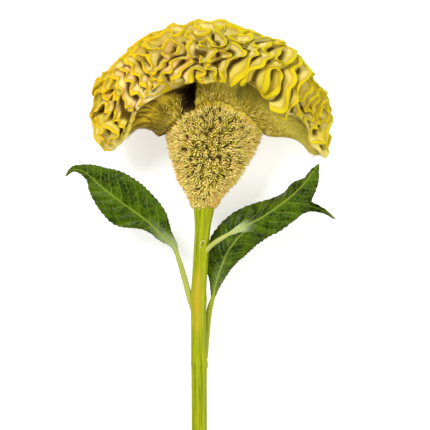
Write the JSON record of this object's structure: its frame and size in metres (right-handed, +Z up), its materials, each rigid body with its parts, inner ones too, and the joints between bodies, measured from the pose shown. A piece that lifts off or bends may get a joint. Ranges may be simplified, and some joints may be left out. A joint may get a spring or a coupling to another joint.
{
  "type": "cut cockscomb flower",
  "caption": "Cut cockscomb flower lying on its back: a fan-shaped ruffled yellow comb on a cone of papery florets, with a ribbed green stem and pointed leaves.",
  "frame": {"origin": "centre of the footprint of the lying flower's bounding box, on the surface it lies on", "axes": "+Y from the cut end of the stem towards the comb, +Z up from the surface, +X across the comb"},
  "size_m": [0.1476, 0.2709, 0.0801],
  "materials": {
    "comb": "velvety yellow petal tissue with brighter edges",
    "florets": "papery cream florets with tan tips",
    "stem": "smooth light green with fine ribs",
    "leaf": "satin dark green with paler veins"
  },
  "bodies": {
    "root": {"stem": "stem", "floret_cone": "florets", "crest": "comb", "leaf_left": "leaf", "leaf_right": "leaf", "leaf_rear": "leaf"}
  },
  "joints": []
}
